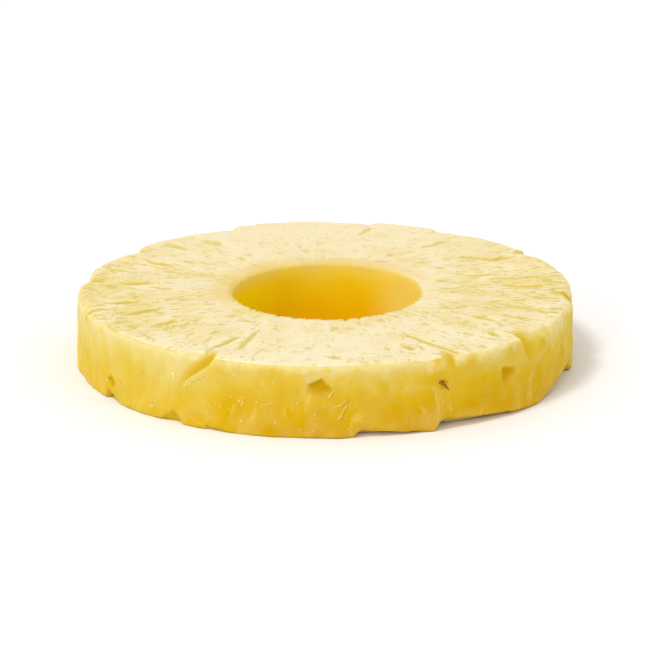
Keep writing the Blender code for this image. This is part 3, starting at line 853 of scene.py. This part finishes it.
def bead_tree():
    """Small flattened beads scattered in clusters over the peeled wall."""
    tree = new_tree(
        "beads on the wall",
        {
            "Float": (
                "Density", "Cluster Size", "Lowest", "Middle", "Highest", "Thinnest",
                "Thickest", "Smallest", "Largest",
            ),
            "Int": ("Seed",),
            "Material": ("Material",),
        },
    )
    given = add(tree, "NodeGroupInput").outputs
    marks = {
        name: add(tree, "GeometryNodeInputNamedAttribute", {"Name": name}, data_type="FLOAT")
        for name in ("cut_face", "wall")
    }
    scale = add(tree, MATH, {0: 1.0, 1: given["Cluster Size"]}, **OVER)
    cluster = add(tree, NOISE, {"Scale": scale, "Detail": 1.0})
    cluster = add(tree, MAP_RANGE, {0: cluster, 1: 0.55, 2: 0.68}, **SOFT)
    density = add(tree, MATH, {0: 1.0, 1: marks["cut_face"]}, **MINUS)
    place = add(tree, "GeometryNodeInputPosition")
    place_parts = add(tree, "ShaderNodeSeparateXYZ", {0: place}).outputs
    # Some clusters everywhere above the foot, and more of them at the lower left, where pale beads stand in
    # for painted glints
    above = add(tree, MATH, {0: place_parts["Z"], 1: given["Lowest"]}, operation="GREATER_THAN")
    across = {0: place_parts["X"], 1: given["Thinnest"], 2: given["Thickest"], 3: 0.15}
    across = add(tree, MAP_RANGE, across, **SOFT)
    low = add(tree, MAP_RANGE, {0: place_parts["Z"], 1: given["Highest"], 2: given["Middle"], 3: 0.2}, **SOFT)
    for share in (marks["wall"], cluster, above, low, across, given["Density"]):
        density = add(tree, MATH, {0: density, 1: share}, **TIMES)
    scatter = {"Mesh": given["Geometry"], "Density": density, "Seed": given["Seed"]}
    scatter = add(tree, "GeometryNodeDistributePointsOnFaces", scatter)
    upright = {"Rotation": scatter.outputs["Rotation"], "Vector": (0.3, 0.0, 1.0)}
    upright = add(tree, "FunctionNodeAlignRotationToVector", upright, axis="Y", pivot_axis="Z")
    size = {2: given["Smallest"], 3: given["Largest"], "Seed": given["Seed"]}
    size = add(tree, "FunctionNodeRandomValue", size)
    stretch = add(tree, "FunctionNodeRandomValue", {2: 0.6, 3: 2.2, "Seed": 5})
    shape = add(tree, JOIN_XYZ, {"X": 0.7, "Y": stretch, "Z": 0.5})
    shape = add(tree, VECTOR, {0: shape, "Scale": size}, operation="SCALE")
    bead = add(tree, "GeometryNodeMeshUVSphere", {"Segments": 8, "Rings": 5, "Radius": 0.5})
    bead = add(tree, "GeometryNodeSetShadeSmooth", {"Geometry": bead})
    beads = {"Points": scatter, "Instance": bead, "Rotation": upright, "Scale": shape}
    beads = add(tree, "GeometryNodeInstanceOnPoints", beads)
    plain = add(tree, "GeometryNodeRealizeInstances", {"Geometry": beads})
    finished = add(tree, "GeometryNodeSetMaterial", {"Geometry": plain, "Material": given["Material"]})
    add(tree, "NodeGroupOutput", {"Geometry": finished})
    return tree


def make_ring():
    """The finished flesh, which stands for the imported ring."""
    ring = new_object("ring_flesh", fine_ring())
    slits = slit_outlines()
    run_tree(
        ring,
        relief_tree(),
        {
            "Thickness": THICKNESS,
            "Core Radius": CORE_RADIUS,
            "Outer Radius": OUTER_RADIUS,
            "Slit Depth": 0.32 * MM,
            "Slit Edge": 0.45 * MM,
            "Pit Size": 2.2 * MM,
            "Pit Depth": 0.14 * MM,
            "Tooth Size": 1.6 * MM,
            "Tooth Depth": 0.2 * MM,
            "Nick Size": 0.7 * MM,
            "Nick Depth": 0.65 * MM,
            "Lump Size": 7.0 * MM,
            "Lump Height": 1.1 * MM,
            "Fold Size": 2.6 * MM,
            "Fold Height": 0.3 * MM,
            "Crumb Size": 0.9 * MM,
            "Crumb Height": 0.06 * MM,
            "Wave Size": 9.0 * MM,
            "Wave Height": 0.5 * MM,
            "Slits": slits,
            "Material": flesh_material(),
        },
    )
    bpy.data.objects.remove(slits)
    fit_to_frame(ring.data)
    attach(ring, BODY)
    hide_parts(NODE)
    return ring


# Strands of fibre that lie on the wall: (angle and height as a share of the thickness at one
# end, the same at the other end, thickness in mm)
STRANDS = (
    # The first and the last lie along the lit left roof of the front eye hollow and the lit edge of a bite,
    # as painted highlights as well as fibres
    (-94.1, 0.735, -91.3, 0.82, 0.22),
    (-88.3, 0.645, -89.4, 0.57, 0.34),
    (-88.0, 0.42, -85.2, 0.51, 0.26),
    (-87.4, 0.23, -85.0, 0.47, 0.28),
    (-104.8, 0.42, -101.9, 0.46, 0.24),
    (-84.5, 0.44, -84.0, 0.52, 0.22),
    (-118.3, 0.74, -121.6, 0.60, 0.34),
)

# More strands, spread round the whole wall
LOOSE_STRANDS = 16
LOOSE_SEED = 11

# Short runs of juice on the wall, coloured pale as painted glints, in the same form
JUICE_GLINT_RUNS = (
    (-127.6, 0.68, -126.6, 0.65, 0.34),
    (-127.2, 0.64, -126.4, 0.61, 0.24),
    (-123.6, 0.53, -122.6, 0.61, 0.24),
    (-122.6, 0.54, -121.8, 0.60, 0.22),
    (-121.4, 0.52, -120.8, 0.58, 0.26),
    (-145.6, 0.57, -145.2, 0.65, 0.26),
    (-143.0, 0.31, -142.7, 0.37, 0.22),
    (-150.8, 0.27, -149.6, 0.25, 0.30),
    (-133.8, 0.16, -132.8, 0.17, 0.26),
    (-129.9, 0.48, -129.6, 0.52, 0.20),
    (-109.2, 0.39, -108.8, 0.46, 0.22),
    (-109.4, 0.18, -109.0, 0.21, 0.24),
    (-96.3, 0.44, -96.0, 0.49, 0.22),
    (-101.3, 0.20, -101.0, 0.23, 0.20),
    (-105.4, 0.86, -105.1, 0.89, 0.18),
    (-14.0, 0.62, -13.4, 0.72, 0.26),
    (-10.5, 0.50, -10.0, 0.62, 0.24),
    (-26.0, 0.70, -25.4, 0.80, 0.22),
    (118.0, 0.44, 118.4, 0.54, 0.24),
    (86.0, 0.40, 86.8, 0.46, 0.26),
    (63.0, 0.66, 63.6, 0.73, 0.22),
)

# Brown remains of the eyes, in the same form
FLECKS = (
    (-63.4, 0.665, -62.4, 0.635, 0.8),
    (-62.6, 0.64, -61.2, 0.54, 0.26),
    (48.4, 0.60, 49.6, 0.55, 0.7),
    (101.0, 0.63, 102.6, 0.58, 0.8),
    (102.4, 0.58, 103.2, 0.46, 0.25),
    (164.6, 0.56, 165.6, 0.52, 0.6),
    (5.8, 0.47, 6.3, 0.38, 0.35),
)


def guide_lines(lines):
    """A guide mesh: one edge for each line on the wall, with its thickness in metres."""
    points, thicknesses = [], []
    for angle_a, share_a, angle_b, share_b, thickness_mm in lines:
        for angle, share in ((angle_a, share_a), (angle_b, share_b)):
            turn = math.radians(angle)
            points.append((OUTER_RADIUS * math.cos(turn), OUTER_RADIUS * math.sin(turn), share * THICKNESS))
            thicknesses.append(thickness_mm * MM)
    mesh = bpy.data.meshes.new("guide lines")
    mesh.from_pydata(points, [(start, start + 1) for start in range(0, len(points), 2)], [])
    mesh.attributes.new("thickness", "FLOAT", "POINT").data.foreach_set("value", thicknesses)
    return mesh


def loose_strands():
    """Short strands spread evenly round the wall, leaning either way."""
    random = np.random.default_rng(LOOSE_SEED)
    lines = []
    for index in range(LOOSE_STRANDS):
        angle = 360.0 * (index + random.uniform(-0.3, 0.3)) / LOOSE_STRANDS
        share = random.uniform(0.12, 0.7)
        lean = random.uniform(-2.5, 2.5)
        rise = random.uniform(0.04, 0.14)
        lines.append((angle, share, angle + lean, share + rise, random.uniform(0.12, 0.2)))
    return lines


def make_details(ring):
    """The strands, flecks, and runs and beads of juice on the ring; the juice is coloured pale, as painted
    glints.
    """
    strands = two_tone_material("loose pineapple fibre, wet", "#EBD480", "#E0C050", 0.8, 0.4, 1.36)
    flecks = two_tone_material("dried brown eye remains, damp", "#6A3A04", "#A8681A", 0.5, 0.5, 1.45)
    # Pale juice that stands in for glints of the light: painted highlights
    beads = two_tone_material("pineapple juice beads, pale as painted glints", "#F8E8A8", "#F0D880", 0.9, 0.08, 1.34)
    tree = strand_tree()
    values = {
        "Flesh": ring,
        "Points": 9,
        "Sides": 6,
        "Wander Size": 1.5 * MM,
        "Wander": 0.5 * MM,
        "Merge": 0.003 * MM,
    }
    fibres = new_object("loose_fibres", guide_lines(list(STRANDS) + loose_strands()))
    run_tree(fibres, tree, {**values, "Material": strands})
    remains = new_object("eye_remains", guide_lines(FLECKS))
    run_tree(remains, tree, {**values, "Material": flecks})
    runs = new_object("juice_runs", guide_lines(JUICE_GLINT_RUNS))
    run_tree(runs, tree, {**values, "Material": beads})
    juice = new_object("juice_beads", ring.data.copy())
    values = {
        "Density": 1.2e6,
        "Cluster Size": 4.0 * MM,
        "Lowest": 0.8 * MM,
        "Middle": 7.0 * MM,
        "Highest": 9.5 * MM,
        "Thinnest": 18.0 * MM,
        "Thickest": -18.0 * MM,
        "Smallest": 0.12 * MM,
        "Largest": 0.30 * MM,
        "Seed": 3,
        "Material": beads,
    }
    run_tree(juice, bead_tree(), values)
    for piece in (fibres, remains, runs, juice):
        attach(piece, BODY)


make_details(make_ring())

# Camera
ELEVATION = math.radians(17.5)
DISTANCE = 1.06
RING_SHARE = 0.78
camera_data = bpy.data.cameras.new("camera")
camera_data.lens = camera_data.sensor_width * DISTANCE * RING_SHARE / (2.0 * OUTER_RADIUS)
camera = new_object("camera", camera_data)
camera.location = MIDDLE + DISTANCE * Vector((0.0, -math.cos(ELEVATION), math.sin(ELEVATION)))
camera.rotation_euler = (math.pi / 2.0 - ELEVATION, 0.0, 0.0)
bpy.context.scene.camera = camera


def add_sun(name, energy, spread, aim):
    """A far lamp: how bright it is, its spread in degrees, and the way its light goes."""
    data = bpy.data.lights.new(name, "SUN")
    data.energy = energy
    data.angle = math.radians(spread)
    new_object(name, data).rotation_euler = Vector(aim).to_track_quat("-Z", "Y").to_euler()


# Light: a white studio, a soft key light from high at the front left, and a small low lamp from
# the front left that glints in the juice
world = bpy.data.worlds.new("studio")
bpy.context.scene.world = world
world.use_nodes = True
studio = world.node_tree.nodes["Background"]
studio.inputs["Color"].default_value = (1.0, 1.0, 1.0, 1.0)
studio.inputs["Strength"].default_value = 0.76
add_sun("key", 1.05, 14.0, (0.36, 0.36, -0.86))
add_sun("glint", 0.3, 5.0, (0.35, 0.85, -0.4))

# Floor
FLOOR_REACH = 2.0
floor_corners = [(x * FLOOR_REACH, y * FLOOR_REACH, 0.0) for x, y in ((-1, -1), (1, -1), (1, 1), (-1, 1))]
floor_mesh = bpy.data.meshes.new("floor")
floor_mesh.from_pydata(floor_corners, [], [(0, 1, 2, 3)])
floor_mesh.materials.append(
    new_material(
        "white studio sweep",
        {"Base Color": linear("#FCFCFC"), "Roughness": 0.8, "Specular IOR Level": 0.0},
    )[0]
)
floor = new_object("floor", floor_mesh)
bpy.context.scene.view_settings.view_transform = "Standard"
